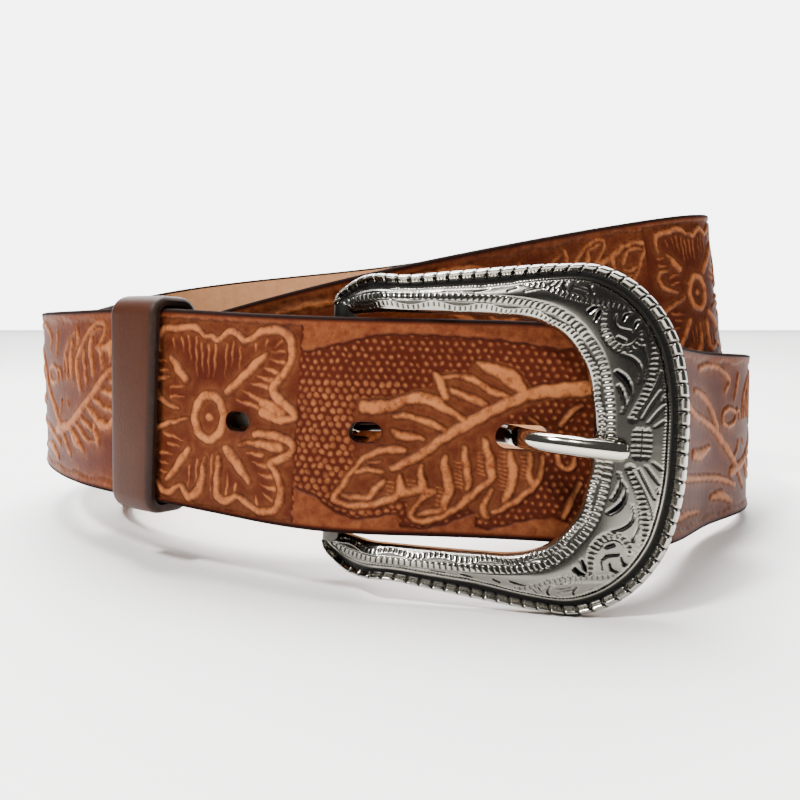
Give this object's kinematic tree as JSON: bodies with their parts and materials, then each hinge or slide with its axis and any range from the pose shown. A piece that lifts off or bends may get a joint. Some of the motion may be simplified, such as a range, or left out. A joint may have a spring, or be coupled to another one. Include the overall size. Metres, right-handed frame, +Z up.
{
  "type": "western tooled belt",
  "caption": "Wide leather belt tooled with flowers and leaves, fastened by an oval engraved single-prong buckle with a plain keeper, coiled in two turns and standing on its edge.",
  "frame": {"origin": "on the floor, under the middle of the bounding box", "axes": "+X along the coil's longest side, towards the buckle's free end; +Y from the buckle towards the back of the coil; +Z up"},
  "size_m": [0.1866, 0.1782, 0.0774],
  "materials": {
    "tooled_leather": "satin",
    "plain_leather": "satin",
    "aged_silver": "polished, dark in the recesses",
    "polished_nickel": "polished",
    "post_nickel": "satin"
  },
  "bodies": {
    "root": {"strap": "tooled_leather", "keeper": "plain_leather", "buckle_frame": "aged_silver", "prong": "polished_nickel", "fold_post_1": "post_nickel", "fold_post_2": "post_nickel"}
  },
  "joints": []
}
